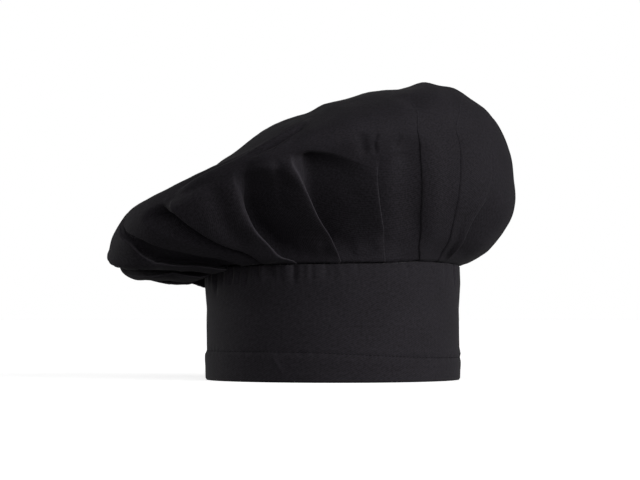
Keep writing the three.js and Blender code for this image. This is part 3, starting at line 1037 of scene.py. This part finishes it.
def stitch_guide():
    """A closed line of edges round the band, at the stitch line."""
    height = hem_height(HEAD_HALF_LENGTH * np.cos(np.radians(BAND_ANGLES)))
    points = on_oval(BAND_ANGLES, band_out(BAND_ANGLES, height) + STITCH_PROUD, height)
    edges = [[index, (index + 1) % len(points)] for index in range(len(points))]
    mesh = bpy.data.meshes.new("stitch_line")
    mesh.from_pydata(in_metres(points).tolist(), edges, [])
    guide = bpy.data.objects.new("stitch_line", mesh)
    bpy.context.scene.collection.objects.link(guide)
    return guide


def make_stitches():
    guide = stitch_guide()
    tree = stitch_tree()
    modifier = guide.modifiers.new("stitches", "NODES")
    modifier.node_group = tree
    for socket in tree.interface.items_tree:
        if socket.in_out == "INPUT" and socket.name in STITCH_SIZES:
            modifier[socket.identifier] = STITCH_SIZES[socket.name] * MM
    evaluated = guide.evaluated_get(bpy.context.evaluated_depsgraph_get())
    mesh = bpy.data.meshes.new_from_object(evaluated)
    piece = bpy.data.objects.new("hem_stitches", mesh)
    bpy.context.scene.collection.objects.link(piece)
    bpy.data.objects.remove(guide)
    mesh.polygons.foreach_set("use_smooth", np.ones(len(mesh.polygons), bool))
    print("hem_stitches has", len(mesh.polygons), "faces")
    return piece


stitches = make_stitches()

# %% [markdown]
# Each piece now rides on the root body, and the frame's band and crown solids, which the pieces
# replace, are hidden. The crown is a sheet, cut as a circle, gathered into the band.

# %% Attach the pieces and hide the frame's solids
for piece, slot_name in ((band, "band_twill"), (crown, "crown_twill"), (stitches, "band_twill")):
    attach(piece, "root")
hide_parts("band")
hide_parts("crown")

# %% [markdown]
# The hat stands on a light table: matt white, and glowing, so that it stays white where the low key
# lamp hardly reaches it. It sends no light back to the hat. It could be a curved backdrop, but Sun
# lamps light a flat floor evenly to the horizon, where it meets a white surrounding.

# %% Floor
FLOOR_REACH = 30.0
FLOOR_GLOW = 0.76


def make_floor():
    mesh = bpy.data.meshes.new("floor")
    corners = [(-1, -1), (1, -1), (1, 1), (-1, 1)]
    mesh.from_pydata([(x * FLOOR_REACH, y * FLOOR_REACH, 0) for x, y in corners], [], [(0, 1, 2, 3)])
    floor = bpy.data.objects.new("floor", mesh)
    bpy.context.scene.collection.objects.link(floor)
    paper = empty_material("lit_white_table")
    surface = add_node(paper.node_tree, "ShaderNodeBsdfPrincipled", inputs={
        "Base Color": linear("#f0f0f0"), "Roughness": 0.9, "Specular IOR Level": 0.1,
        "Emission Color": linear("#ffffff"), "Emission Strength": FLOOR_GLOW,
    })
    add_node(paper.node_tree, "ShaderNodeOutputMaterial", inputs={"Surface": surface.outputs["BSDF"]})
    mesh.materials.append(paper)
    floor.visible_diffuse = False
    floor.visible_glossy = False
    print("floor,", 2 * FLOOR_REACH, "m across")


make_floor()

# %% [markdown]
# The surroundings are white to the camera. As light they are dim, so that they don't fill the folds:
# a little from below, as from a light table, and almost none from above.

# %% Surroundings
AMBIENT_ABOVE = 0.02
AMBIENT_BELOW = 0.18
HORIZON = 0.1


def make_world():
    world = bpy.data.worlds.new("white_studio")
    bpy.context.scene.world = world
    world.use_nodes = True
    tree = world.node_tree
    tree.nodes.clear()
    path = add_node(tree, "ShaderNodeLightPath")
    way = add_node(tree, "ShaderNodeTexCoord")
    parts = add_node(tree, "ShaderNodeSeparateXYZ", inputs={"Vector": way.outputs["Generated"]})
    ambient = add_node(tree, "ShaderNodeMapRange", inputs={
        "Value": parts.outputs["Z"], "From Min": -HORIZON, "From Max": HORIZON,
        "To Min": AMBIENT_BELOW, "To Max": AMBIENT_ABOVE,
    })
    strength = add_node(tree, "ShaderNodeMix", {"data_type": "FLOAT"}, {
        FACTOR: path.outputs["Is Camera Ray"], FLOAT_A: ambient.outputs["Result"], FLOAT_B: 1.0,
    })
    white = add_node(tree, "ShaderNodeBackground", inputs={
        "Color": (1, 1, 1, 1), "Strength": strength.outputs[FLOAT_RESULT],
    })
    add_node(tree, "ShaderNodeOutputWorld", inputs={"Surface": white.outputs["Background"]})
    print(world.name, "gives", AMBIENT_BELOW, "from below and", AMBIENT_ABOVE, "from above")


make_world()

# %% [markdown]
# Black cloth shows its folds only when the light comes from one side. The key is a large soft source
# low on the front right, with weak ones in front, on the left, behind and above. Sun lamps are used
# because their light is the same all over the hat, and their angle sets how soft the shadows are.

# %% Lamps
# Azimuth is measured from the camera towards its right; width is how large a lamp looks, in degrees.
LAMP_COLUMNS = ("name", "azimuth", "elevation", "width", "strength")
LAMPS = [dict(zip(LAMP_COLUMNS, row)) for row in [
    ("key", 67, 9, 30, 2.4),
    ("front_right_fill", 42, 30, 24, 0.4),
    ("front_fill", 0, 22, 50, 0.68),
    ("left_fill", -70, 45, 30, 0.3),
    ("back_left_rim", -116, 5, 28, 0.9),
    ("above", 0, 80, 40, 0.12),
]]


def make_lamp(lamp):
    data = bpy.data.lights.new(lamp["name"], "SUN")
    data.angle = math.radians(lamp["width"])
    data.energy = lamp["strength"]
    azimuth, elevation = math.radians(lamp["azimuth"]), math.radians(lamp["elevation"])
    way = Vector((math.sin(azimuth), -math.cos(azimuth), math.tan(elevation)))
    piece = bpy.data.objects.new(lamp["name"], data)
    piece.rotation_euler = way.to_track_quat("Z", "Y").to_euler()
    bpy.context.scene.collection.objects.link(piece)


for lamp in LAMPS:
    make_lamp(lamp)
print("lamps:", ", ".join(lamp["name"] for lamp in LAMPS))

# %% [markdown]
# The camera stands 1.5 m from the hat, at about the height of the middle of the band, and looks up a
# little, as in the photograph. Its lens makes 1 mm at the hat's middle plane 1.3 px of a 640 px
# picture.

# %% Camera
CAMERA_DISTANCE = 1500.0
CAMERA_HEIGHT = 47.0
CAMERA_ASIDE = -10.0
MM_PER_PIXEL = 0.772
HORIZON_PIXEL = 318.3
PICTURE = dict(width=640, height=480)
SENSOR_WIDTH = 36.0
camera_data = bpy.data.cameras.new("camera")
camera_data.sensor_width = SENSOR_WIDTH
camera_data.lens = SENSOR_WIDTH * CAMERA_DISTANCE / MM_PER_PIXEL / PICTURE["width"]
camera_data.clip_start = 0.05
camera_data.clip_end = 100
camera = bpy.data.objects.new("camera", camera_data)
bpy.context.scene.collection.objects.link(camera)
camera.location = (BAND_MIDDLE + CAMERA_ASIDE * MM, -CAMERA_DISTANCE * MM, CAMERA_HEIGHT * MM)
pitch = math.atan((HORIZON_PIXEL - PICTURE["height"] / 2) * MM_PER_PIXEL / CAMERA_DISTANCE)
camera.rotation_euler = (math.radians(90) + pitch, 0, 0)
bpy.context.scene.camera = camera
bpy.context.scene.view_settings.view_transform = "Standard"
print("lens, mm:", round(camera_data.lens, 1), "looking up by", round(math.degrees(pitch), 1), "degrees")
